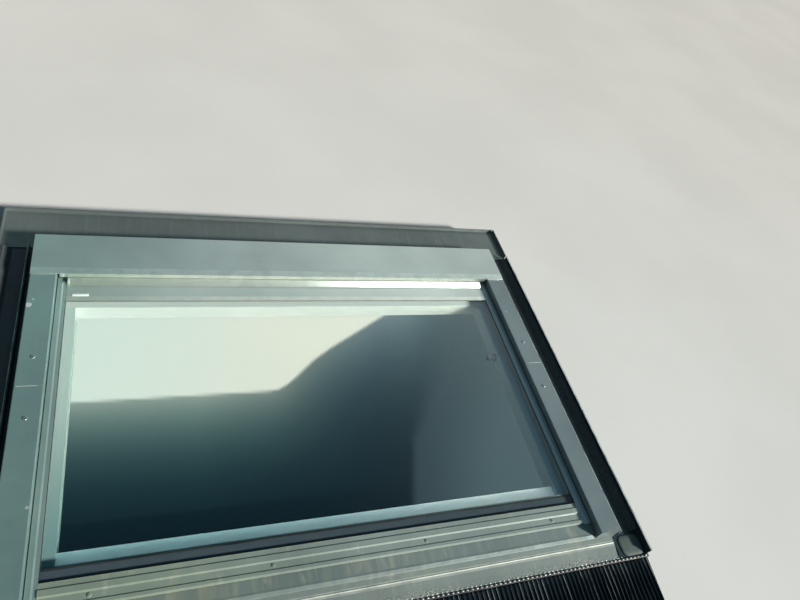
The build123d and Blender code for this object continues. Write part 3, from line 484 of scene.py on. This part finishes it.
USE = {
    "frame_top_member": "timber_x", "frame_bottom_member": "timber_x", "frame_left_member": "timber_y", "frame_right_member": "frame_timber_right",
    "hood": "hood", "left_upper_cover": "side_cover_left", "left_lower_cover": "side_cover_left",
    "right_upper_cover": "side_cover_right", "right_lower_cover": "side_cover_right", "cover_joint_clips": "clip",
    "bottom_frame_cover": "lower", "cover_screws": "screw", "bracket_top_left": "galv", "bracket_top_right": "galv",
    "bracket_bottom_left": "galv", "bracket_bottom_right": "galv", "bracket_screws": "screw", "flashing_top": "head",
    "flashing_left": "gutter", "flashing_right": "gutter", "flashing_sill": "sill", "foam_strip_left": "foam",
    "foam_strip_right": "foam", "hinge_frame_plate_left": "zinc", "hinge_frame_plate_right": "zinc", "pivot_pins": "screw",
    "frame_fitting_screws": "screw", "strike_plate": "zinc", "bolt_bushes": "bush",
    "sash_top_member": "sash_timber_top", "sash_bottom_member": "sash_timber_low", "sash_left_member": "sash_timber_left",
    "sash_right_member": "sash_timber_right", "outer_pane": "outer", "inner_pane": "inner", "spacer_bar": "spacer", "edge_seal": "seal",
    "glazing_gasket": "gasket", "sash_top_cover": "sash_top", "sash_bottom_cover": "sash_low", "sash_left_cover": "sash_left",
    "sash_right_cover": "sash_right", "sash_cover_screws": "sash_low", "sash_gasket_left": "gasket", "sash_gasket_right": "gasket",
    "sash_gasket_top": "gasket", "sash_gasket_bottom": "gasket", "hinge_sash_plate_left": "zinc", "hinge_sash_plate_right": "zinc",
    "sash_fitting_screws": "screw", "lock_case": "lock", "bar_bracket_left": "zinc", "bar_bracket_right": "zinc",
    "vent_filter_cassette": "filter", "bolt_case": "lock", "latch_tongue": "zinc", "control_bar": "bar", "vent_flap": "flap",
    "barrel_bolt": "zinc", "pleated_apron": "gasket",
}
for n, o in NODES.items():
    o.data.materials.clear()
    o.data.materials.append(M[USE[n]])

# rounded edges on the nodes whose edges show
ROUND = {"frame_top_member": 0.0012, "frame_bottom_member": 0.0012, "frame_left_member": 0.0012, "frame_right_member": 0.0012,
         "sash_top_member": 0.0012, "sash_bottom_member": 0.0015, "sash_left_member": 0.0015, "sash_right_member": 0.0015,
         "lock_case": 0.0008, "strike_plate": 0.0004, "bar_bracket_left": 0.0004, "bar_bracket_right": 0.0004}
for n, w in ROUND.items():
    o = NODES[n]
    k = o.modifiers.new("weld", "WELD")
    k.merge_threshold = 0.00001
    b = o.modifiers.new("round", "BEVEL")
    b.width = w
    b.segments = 2
    b.limit_method = "ANGLE"
    b.angle_limit = math.radians(35)
    b.use_clamp_overlap = True


# ---------------------------------------------------------------- mesh helpers
def new_mesh(name, verts, faces, material, body, smooth=True):
    me = bpy.data.meshes.new(name)
    me.from_pydata([tuple(v) for v in verts], [], faces)
    me.validate()
    me.update()
    o = bpy.data.objects.new(name, me)
    SC.collection.objects.link(o)
    if material:
        me.materials.append(material)
    if smooth:
        me.polygons.foreach_set("use_smooth", [True] * len(me.polygons))
    if body:
        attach(o, body)
    return o


def grid_faces(nu, nv, base=0, closed_u=False):
    out = []
    for j in range(nv - 1):
        for i in range(nu if closed_u else nu - 1):
            a = base + j * nu + i
            b = base + j * nu + (i + 1) % nu
            out.append((a, b, b + nu, a + nu))
    return out


# ---------------------------------------------------------------- the pleated apron
def apron_material():
    """Black pleated sheet: semi-gloss, a woven face, the pleat crests dusty and lightened as painted highlights."""
    m = Mat("apron_black")
    crest = m.t.nodes.new("ShaderNodeAttribute")
    crest.attribute_name = "crest"
    c = crest.outputs["Fac"]
    base = (0.0085, 0.0155, 0.0210)
    col = m.mix(m.span(m.noise(6.0, 5.0, 0.6), 0.35, 0.7, 0.0, 0.6), base, (0.0045, 0.0090, 0.0120))
    # pale crest lines in patches: dust, and painted highlights on the pleat crests
    dust = m.span(m.noise((26.0, 4.0, 20.0), 6.0, 0.7), 0.46, 0.60)
    patch = m.span(m.noise((4.2, 5.0, 3.0), 3.0, 0.5), 0.42, 0.62, 0.16, 1.0)
    col = m.mix(m.math("MULTIPLY", m.math("MULTIPLY", dust, patch), m.span(c, 0.82, 0.96, 0.0, 0.95)), col, (0.44, 0.50, 0.50))
    soil = m.math("MULTIPLY", m.span(m.noise(13.0, 7.0, 0.7), 0.56, 0.76), 0.05)
    col = m.mix(soil, col, (0.09, 0.09, 0.08))
    weave = m.math("MULTIPLY", m.wave(520.0, axis="X"), m.wave(520.0, axis="Y"))
    col = m.mix(m.math("MULTIPLY", weave, 0.10), col, (0.010, 0.015, 0.018))
    m.set(base=col, rough=m.span(m.noise(50.0, 5.0), 0.3, 0.7, 0.40, 0.58), normal=m.bump(weave, 0.12, 0.0003), spec=0.10)
    return m.m


def build_apron():
    """One continuous sheet, folded in even pleats that are gathered flat in the crimp and fan out below it."""
    y0, y1, half = -0.5462, -0.7050, 0.7550
    n_pleat, per, rows, t = 126, 10, 26, 0.0009
    cols = n_pleat * per + 1
    rnd = random.Random(5)
    lean = [rnd.uniform(-1, 1) for _ in range(n_pleat + 1)]
    tall = [rnd.uniform(0.82, 1.0) for _ in range(n_pleat + 1)]
    xs, ys, zs, crest = [], [], [], []
    for j in range(rows):
        v = j / (rows - 1)
        y = y0 + (y1 - y0) * v
        amp = 0.0026 * (0.42 + 0.58 * min(1.0, v * 3.0) ** 0.8) + 0.0004 * v
        for i in range(cols):
            u = i / (cols - 1)
            k = u * n_pleat
            p, f = int(min(k, n_pleat - 1)), k - int(min(k, n_pleat - 1))
            # a pleat: steep flank, narrow crest, wider valley
            w = abs(2 * f - 1)
            h = 1 - w
            h = h * h * (3 - 2 * h)
            h = 0.55 * h + 0.45 * max(0.0, 1 - w * 1.9)
            big = math.sin(u * 23.0 + 0.6) * 0.5 + math.sin(u * 9.1 + 2.0) * 0.5
            a = amp * (tall[p] * (1 - f) + tall[p + 1] * f)
            x = -half + 2 * half * u
            # the pleats fan and wander a little as they run down
            sway = 0.0032 * v * v * math.sin(u * 31.0 + 1.1) + 0.0016 * v * (lean[p] * (1 - f) + lean[p + 1] * f) \
                + 0.0011 * math.sin(v * 9.0 + u * 60.0) * v
            x = max(-half, min(half, x + sway * (1 if 0.004 < u < 0.996 else 0)))
            z = 0.0062 - 0.0150 * v ** 1.15 + 0.0011 * big * v + a * (2 * h - 1) * 1.0
            xs.append(x); ys.append(y); zs.append(z); crest.append(h)
    V = np.stack([xs, ys, zs], 1)
    top = [tuple(p) for p in V]
    low = [(p[0], p[1], p[2] - t) for p in V]
    n = len(top)
    faces = grid_faces(cols, rows)
    faces = [tuple(reversed(f)) for f in faces]
    under = [tuple(reversed([a + n for a in f])) for f in faces]
    rim = []
    for i in range(cols - 1):
        rim.append((i, i + 1, i + 1 + n, i + n))
        a = (rows - 1) * cols + i
        rim.append((a + 1, a, a + n, a + 1 + n))
    for j in range(rows - 1):
        a = j * cols
        rim.append((a + cols, a, a + n, a + cols + n))
        b = j * cols + cols - 1
        rim.append((b, b + cols, b + cols + n, b + n))
    o = new_mesh("apron_sheet", top + low, faces + under + rim, apron_material(), "frame")
    at = o.data.attributes.new("crest", "FLOAT", "POINT")
    at.data.foreach_set("value", np.array(crest + [c * 0.3 for c in crest], np.float32))
    bm = bmesh.new()
    bm.from_mesh(o.data)
    bmesh.ops.recalc_face_normals(bm, faces=bm.faces)
    bm.to_mesh(o.data)
    bm.free()
    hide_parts("pleated_apron")
    return o


def build_crimp():
    """Where the pleats are clamped: each crest stands out of the hem as a small round tooth, in two rows, between two beads."""
    m = Mat("crimp_teeth")
    col = m.mix(m.span(m.noise(90.0, 5.0, 0.7), 0.42, 0.62), (0.30, 0.32, 0.31), (0.74, 0.75, 0.70))
    m.set(base=col, rough=m.span(m.noise(60.0, 4.0), 0.3, 0.7, 0.32, 0.5), metal=0.35, normal=m.bump(m.noise(700.0, 2.0), 0.15, 0.0002))
    V, F = [], []
    rnd = random.Random(11)

    def tooth(cx, cy, cz, lx, ly, lz):
        nu, nv = 10, 6
        b = len(V)
        for j in range(nv):
            ph = math.pi / 2 * j / (nv - 1)
            r, zz = math.cos(ph) ** 0.7, math.sin(ph)
            for i in range(nu):
                a = 2 * math.pi * i / nu
                V.append((cx + lx * r * math.cos(a), cy + ly * r * math.sin(a), cz + lz * zz))
        F.extend(grid_faces(nu, nv, b, True))
        F.append(tuple(range(b + nu - 1, b - 1, -1)))
        F.append(tuple(range(b + (nv - 1) * nu, b + nv * nu)))

    n = 126
    for k in range(n):
        x = -0.755 + 1.51 * (k + 0.5) / n
        j = rnd.uniform(-0.0003, 0.0003)
        tooth(x + j, -0.5441, 0.0101, 0.0036, 0.0018, 0.0017 * rnd.uniform(0.85, 1.0))
        if abs(x) < 0.685:
            tooth(x + j + rnd.uniform(-0.0006, 0.0006), -0.5385, 0.0079, 0.0034 * rnd.uniform(0.8, 1.05), 0.0015, 0.0019 * rnd.uniform(0.75, 1.0))
    return new_mesh("apron_crimp_teeth", V, F, m.m, "frame")


def build_binding():
    """The black band that holds the pleats along the lower hem, rounded over, with the teeth on it."""
    m = Mat("apron_binding")
    col = m.mix(m.span(m.noise(50.0, 5.0, 0.7), 0.45, 0.7), (0.006, 0.009, 0.011), (0.05, 0.055, 0.055))
    m.set(base=col, rough=m.span(m.noise(60.0, 4.0), 0.3, 0.7, 0.40, 0.6), normal=m.bump(m.noise(600.0, 2.0), 0.1, 0.0002))
    prof = [(-0.5412, 0.00925), (-0.5414, 0.0099), (-0.5424, 0.0103), (-0.5458, 0.0103), (-0.5474, 0.0098), (-0.5480, 0.0088), (-0.5480, 0.0050),
            (-0.5472, 0.0046), (-0.54705, 0.0050), (-0.54705, 0.00925)]
    n, cols = len(prof), 152
    rnd = random.Random(3)
    V = []
    for i in range(cols):
        x = -0.7574 + 1.5148 * i / (cols - 1)
        w = rnd.uniform(-0.00012, 0.00012) if 0 < i < cols - 1 else 0.0
        V += [(x, y + (w if y > -0.5470 and z > 0.0095 else 0.0), z) for y, z in prof]
    F = []
    for i in range(cols - 1):
        for k in range(n):
            a, b = i * n + k, i * n + (k + 1) % n
            F.append((a, a + n, b + n, b))
    F.append(tuple(range(n)))
    F.append(tuple(range((cols - 1) * n + n - 1, (cols - 1) * n - 1, -1)))
    o = new_mesh("apron_binding", V, F, m.m, "frame")
    bm = bmesh.new()
    bm.from_mesh(o.data)
    bmesh.ops.recalc_face_normals(bm, faces=bm.faces)
    bm.to_mesh(o.data)
    bm.free()
    return o


build_apron()
build_binding()
build_crimp()


def plate(name, cx, cy, z, lx, ly, h, r, material, body, dome=0.0003, seg=6):
    """A thin pressed plate with rounded corners and a rolled edge."""
    ring = []
    for sx, sy, a0 in ((1, 1, 0), (-1, 1, 90), (-1, -1, 180), (1, -1, 270)):
        for i in range(seg + 1):
            a = math.radians(a0 + 90 * i / seg)
            ring.append((sx * (lx / 2 - r) + r * math.cos(a), sy * (ly / 2 - r) + r * math.sin(a)))
    n = len(ring)
    V, F = [], []
    for s, dz in ((1.0, 0.0), (1.0, h * 0.7), (0.96, h), (0.60, h + dome)):
        for x, y in ring:
            V.append((cx + x * (1 - (1 - s) * (1 if s > 0.9 else 0.5)), cy + y * s, z + dz))
    F += grid_faces(n, 4, 0, True)
    F.append(tuple(range(3 * n, 4 * n)))
    F.append(tuple(range(n - 1, -1, -1)))
    return new_mesh(name, V, F, material, body)


END = lacquer("gutter_end_lacquer", (0.080, 0.110, 0.106), dust=0.2, streak=0.1, rough=0.65, metal=0.1, edge=(0.3, 0.34, 0.32), edge_amount=0.5)
for sgn, nm in ((-1, "left"), (1, "right")):
    plate("gutter_end_" + nm, sgn * 0.7185, -0.5135, 0.0081, 0.0620, 0.0500, 0.0022, 0.014, END, "frame", dome=0.0012)
# a pale tab at the left end of the sash top cover, standing in for a painted glint where the covers meet
GLINT_TAB = lacquer("cover_tab_glint_lacquer", (0.62, 0.68, 0.65), dust=0.1, streak=0.0, rough=0.35, metal=0.2)
plate("sash_cover_clip", -0.558, 0.2945, 0.03845, 0.038, 0.0075, 0.0012, 0.002,
      lacquer("cover_clip_lacquer", (0.84, 0.89, 0.86), dust=0.1, streak=0.0, rough=0.35, metal=0.0), "sash")
plate("sash_cover_glint_tab", -0.5862, 0.334, 0.0468, 0.0040, 0.016, 0.0009, 0.0015, GLINT_TAB, "sash")

# ---------------------------------------------------------------- stage: pale floor with the opening the window is set in
Z0 = -0.050
OX, OYL, OYH, DEEP = 0.6155, -0.4505, 0.4085, 2.60
stage = []


def stage_mesh(name, verts, faces, material):
    o = new_mesh(name, verts, faces, material, None, smooth=False)
    stage.append(o)
    return o


mf = Mat("floor_pale")
fcol = mf.mix(mf.span(mf.noise(1.3, 4.0), 0.3, 0.7), (0.78, 0.775, 0.755), (0.83, 0.825, 0.805))
mf.set(base=fcol, rough=mf.span(mf.noise(6.0, 3.0), 0.3, 0.7, 0.85, 0.95), normal=mf.bump(mf.noise(120.0, 3.0), 0.05, 0.0005))
mf.p.inputs["Specular IOR Level"].default_value = 0.15
B = 30.0
fv = [(-B, -B, Z0), (B, -B, Z0), (B, B, Z0), (-B, B, Z0), (-OX, OYL, Z0), (OX, OYL, Z0), (OX, OYH, Z0), (-OX, OYH, Z0)]
stage_mesh("floor", fv, [(0, 1, 5, 4), (1, 2, 6, 5), (2, 3, 7, 6), (3, 0, 4, 7)], mf.m)

# near-black shaft below the opening: a dark box that stands in for the shaded room under the window (painted shade)
md = Mat("shaft_dark")
md.set(base=md.mix(md.span(md.noise(3.0, 3.0), 0.3, 0.7), (0.003, 0.006, 0.009), (0.006, 0.010, 0.014)), rough=0.9)
sx0, sx1, sy0, zb = -1.40, 2.60, -0.95, -DEEP
sv = [(sx0, sy0, Z0 - 0.001), (sx1, sy0, Z0 - 0.001), (sx1, OYH, Z0 - 0.001), (sx0, OYH, Z0 - 0.001), (sx0, sy0, zb), (sx1, sy0, zb), (sx1, OYH, zb), (sx0, OYH, zb)]
stage_mesh("shaft", sv, [(0, 4, 5, 1), (1, 5, 6, 2), (2, 6, 7, 3), (3, 7, 4, 0), (4, 7, 6, 5)], md.m)

# the lit part of the shaft's upper wall, and the light it spills round itself
CAM = Vector((-0.414429, -0.865322, 1.353021))
RIGHT = Vector((0.92562659, -0.24911894, 0.28487748))
UP = Vector((0.00113234, 0.75459141, 0.65619397))
BACK = -Vector((0.37843644, 0.60706801, -0.69875195))


def wall_point(px, py, wall_y=OYH - 0.002):
    """Point of the upper wall that the camera sees at a place of its 800 x 600 frame."""
    k = ((px - 400) / 629.6, (300 - py) / 629.6)
    d = RIGHT * k[0] + UP * k[1] - BACK
    s = (wall_y - CAM.y) / d.y
    return tuple(CAM + d * s)


LIT = np.array([(20, 260), (20, 405.5), (66, 403.5), (167, 397.5), (270, 391.5), (279, 389.5), (287, 385), (297, 376.5), (313, 361), (331, 348),
                (350, 336.5), (372, 323), (392, 311), (404, 300), (420, 260)], float)


def outside(px, py):
    """Distance in pixels outside the lit outline, negative inside it."""
    a, b = LIT, np.roll(LIT, -1, axis=0)
    p = np.array((px, py), float)
    e = b - a
    t = np.clip(((p - a) * e).sum(1) / (e * e).sum(1), 0, 1)
    d = float(np.sqrt((((a + e * t[:, None]) - p) ** 2).sum(1)).min())
    cross = ((a[:, 1] > py) != (b[:, 1] > py)) & (px < e[:, 0] * (py - a[:, 1]) / np.where(e[:, 1] == 0, 1e-9, e[:, 1]) + a[:, 0])
    return -d if cross.sum() % 2 else d


def ease(v, a, b):
    t = min(1.0, max(0.0, (v - a) / (b - a)))
    return t * t * (3 - 2 * t)


def wall_light(x, y):
    """Light of the wall: the sunlit outline, its spill fading down the wall, a paler zone at the right and a dark foot."""
    d = outside(x, y)
    inside = 1 - ease(d, -1.6, 1.6)
    far = max(d, 0.0)
    fall = [math.exp(-far / k) for k in (25.0, 33.0, 36.0)]
    side = [np.interp(x, (200, 300, 380, 410, 470), v) for v in ((1, 0.55, 0.45, 0.60, 0.2), (1, 0.55, 0.50, 0.65, 0.3), (1, 0.58, 0.65, 0.80, 0.4))]
    spill = [a * f * k for a, f, k in zip((0.36, 0.44, 0.370), fall, side)]
    xe = np.interp(y, (330, 400, 440), (442, 424, 413))
    zone = 0.45 * ease(x, xe - np.interp(y, (340, 450), (24, 4)), xe + np.interp(y, (340, 450), (30, 6))) + 0.55 * ease(x, xe, xe + 95)
    zone *= np.interp(y, (320, 420, 490), (0.55, 0.85, 1.0))
    spill = [a + zone * k for a, k in zip(spill, (0.088, 0.128, 0.140))]
    foot = ease(y - (524 - (x - 80) * 0.118), -1.5, 1.5) * (1 - ease(x, 400, 408))
    spill = [a * (1 - 0.65 * foot) for a in spill]
    g = ease(x, 60, 330)
    pale = (0.91 + 0.11 * g, 1.03 - 0.01 * g, 0.90 - 0.04 * g)
    return [inside * p + (1 - inside) * q for p, q in zip(pale, spill)]


xs = np.arange(30.0, 603.0, 3.0)
ys = np.arange(284.0, 548.0, 3.0)
nx = len(xs)
wv, keep, tone = [], [], []
for y in ys:
    for x in xs:
        q = wall_point(x, y)
        keep.append(q[2] < Z0 - 0.002)
        wv.append(q)
        tone.append(wall_light(x, y))
wf = [f for f in grid_faces(nx, len(ys)) if all(keep[k] for k in f)]
used = sorted({k for f in wf for k in f})
index = {k: n for n, k in enumerate(used)}
wall = stage_mesh("shaft_lit_wall", [wv[k] for k in used], [tuple(index[k] for k in reversed(f)) for f in wf], None)
at = wall.data.attributes.new("light", "FLOAT_COLOR", "POINT")
at.data.foreach_set("color", np.array([(*tone[k], 1.0) for k in used], np.float32).ravel())
ml = Mat("shaft_lit")
lit = ml.t.nodes.new("ShaderNodeAttribute")
lit.attribute_name = "light"
soft = ml.mix(ml.span(ml.noise(2.0, 3.0), 0.3, 0.7, 0.0, 0.12), lit.outputs["Color"], ml.mix(1.0, lit.outputs["Color"], (0.93, 0.96, 1.0), "MULTIPLY"))
# the card glows: its sunlit patch, spill and dark foot are painted light and shade given as emission, not lit by the
# lamps
em = ml.t.nodes.new("ShaderNodeEmission")
ml.link(soft, em.inputs["Color"])
em.inputs["Strength"].default_value = 0.98
ml.link(em.outputs[0], ml.out.inputs[0])
wall.data.materials.append(ml.m)
wall.visible_diffuse = False
wall.visible_glossy = False

# ---------------------------------------------------------------- light
w = bpy.data.worlds.new("studio")
SC.world = w
w.use_nodes = True
wn = w.node_tree
bg = wn.nodes["Background"]
tc = wn.nodes.new("ShaderNodeTexCoord")
sep = wn.nodes.new("ShaderNodeSeparateXYZ")
wn.links.new(tc.outputs["Generated"], sep.inputs[0])
cr = wn.nodes.new("ShaderNodeValToRGB")
SKY = ((0.0, (0.17, 0.21, 0.23)), (0.45, (0.22, 0.28, 0.30)), (0.62, (0.30, 0.42, 0.46)), (0.72, (0.23, 0.35, 0.39)), (0.80, (0.13, 0.23, 0.28)),
       (0.90, (0.045, 0.115, 0.165)), (1.0, (0.01, 0.06, 0.10)))
els = cr.color_ramp.elements
els[0].position, els[0].color = SKY[0][0], (*SKY[0][1], 1)
els[1].position, els[1].color = SKY[-1][0], (*SKY[-1][1], 1)
for pos, c in SKY[1:-1]:
    els.new(pos).color = (*c, 1)
wn.links.new(sep.outputs[2], cr.inputs[0])
side = wn.nodes.new("ShaderNodeMapRange")
side.interpolation_type = "SMOOTHSTEP"
side.inputs["From Min"].default_value = -0.25
side.inputs["From Max"].default_value = 0.45
side.inputs["To Min"].default_value = 0.35
wn.links.new(sep.outputs[1], side.inputs["Value"])
dim = wn.nodes.new("ShaderNodeVectorMath")
dim.operation = "SCALE"
wn.links.new(cr.outputs[0], dim.inputs[0])
wn.links.new(side.outputs[0], dim.inputs["Scale"])
dot = wn.nodes.new("ShaderNodeVectorMath")
dot.operation = "DOT_PRODUCT"
wn.links.new(tc.outputs["Generated"], dot.inputs[0])
dot.inputs[1].default_value = Vector((0.45, 0.76, 0.47)).normalized()
lobe = wn.nodes.new("ShaderNodeMath")
lobe.operation = "POWER"
lobe.use_clamp = True
wn.links.new(dot.outputs["Value"], lobe.inputs[0])
lobe.inputs[1].default_value = 30.0
glow = wn.nodes.new("ShaderNodeMix")
glow.data_type = "RGBA"
glow.blend_type = "ADD"
wn.links.new(lobe.outputs[0], glow.inputs[0])
wn.links.new(dim.outputs[0], glow.inputs[6])
glow.inputs[7].default_value = (0.85, 0.82, 0.76, 1)
ray = wn.nodes.new("ShaderNodeLightPath")
back = wn.nodes.new("ShaderNodeMix")
back.data_type = "RGBA"
wn.links.new(ray.outputs["Is Camera Ray"], back.inputs[0])
wn.links.new(glow.outputs[2], back.inputs[6])
back.inputs[7].default_value = (0.60, 0.605, 0.59, 1)
wn.links.new(back.outputs[2], bg.inputs["Color"])
w.cycles_visibility.diffuse = False


def area(name, loc, look, sx, sy, power, colour, spin=None):
    d = bpy.data.lights.new(name, "AREA")
    d.shape = "RECTANGLE"
    d.size, d.size_y = sx, sy
    d.energy = power
    d.color = colour
    o = bpy.data.objects.new(name, d)
    SC.collection.objects.link(o)
    o.location = loc
    if spin is None:
        o.rotation_mode = "QUATERNION"
        o.rotation_quaternion = (Vector(look) - Vector(loc)).to_track_quat("-Z", "Y")
    else:
        o.rotation_euler = (0, 0, spin)
    return o


key_dir = Vector((0.70, -0.56, 0.44)).normalized()
key = bpy.data.lights.new("key", "SUN")
key.energy = 5.4
key.angle = 0.111
key.color = (1.0, 0.975, 0.91)
key_obj = bpy.data.objects.new("key", key)
SC.collection.objects.link(key_obj)
key_obj.rotation_mode = "QUATERNION"
key_obj.rotation_quaternion = (-key_dir).to_track_quat("-Z", "Y")
streak = area("streak", (2.24, 0.225, 3.5), (0.42, 0.33, 0.0), 0.72, 0.36, 46.0, (1.0, 0.99, 0.95))
streak.visible_diffuse = False
streak_soft = area("streak_soft", (1.45, 0.225, 3.5), (0.30, 0.33, 0.0), 1.1, 0.36, 7.0, (1.0, 0.99, 0.94))
streak_soft.visible_diffuse = False
only = bpy.data.collections.new("streak_receivers")
for n in ("sash_top_cover", "hood", "sash_bottom_member"):
    only.objects.link(NODES[n])
for o in (streak, streak_soft):
    o.light_linking.receiver_collection = only
sky = area("sky", (0.9, -1.9, 3.6), (0, 0, 0), 2.6, 2.6, 22.0, (0.42, 0.78, 1.0))
sky.visible_glossy = False
left_fill = area("left_fill", (-2.6, -0.6, 2.2), (0, 0, 0), 2.0, 1.6, 4.0, (0.68, 0.90, 0.98))

left_fill.visible_glossy = False
left_fill.visible_transmission = False

# ---------------------------------------------------------------- camera
cam_data = bpy.data.cameras.new("camera")
cam = bpy.data.objects.new("camera", cam_data)
SC.collection.objects.link(cam)
cam.matrix_world = Matrix(((RIGHT.x, UP.x, BACK.x, CAM.x), (RIGHT.y, UP.y, BACK.y, CAM.y), (RIGHT.z, UP.z, BACK.z, CAM.z), (0, 0, 0, 1)))
cam_data.sensor_width = 36.0
cam_data.lens = 28.332
cam_data.clip_start, cam_data.clip_end = 0.05, 60.0
SC.camera = cam

SC.view_settings.view_transform = "Standard"
SC.view_settings.look = "None"
SC.view_settings.exposure = 0.0
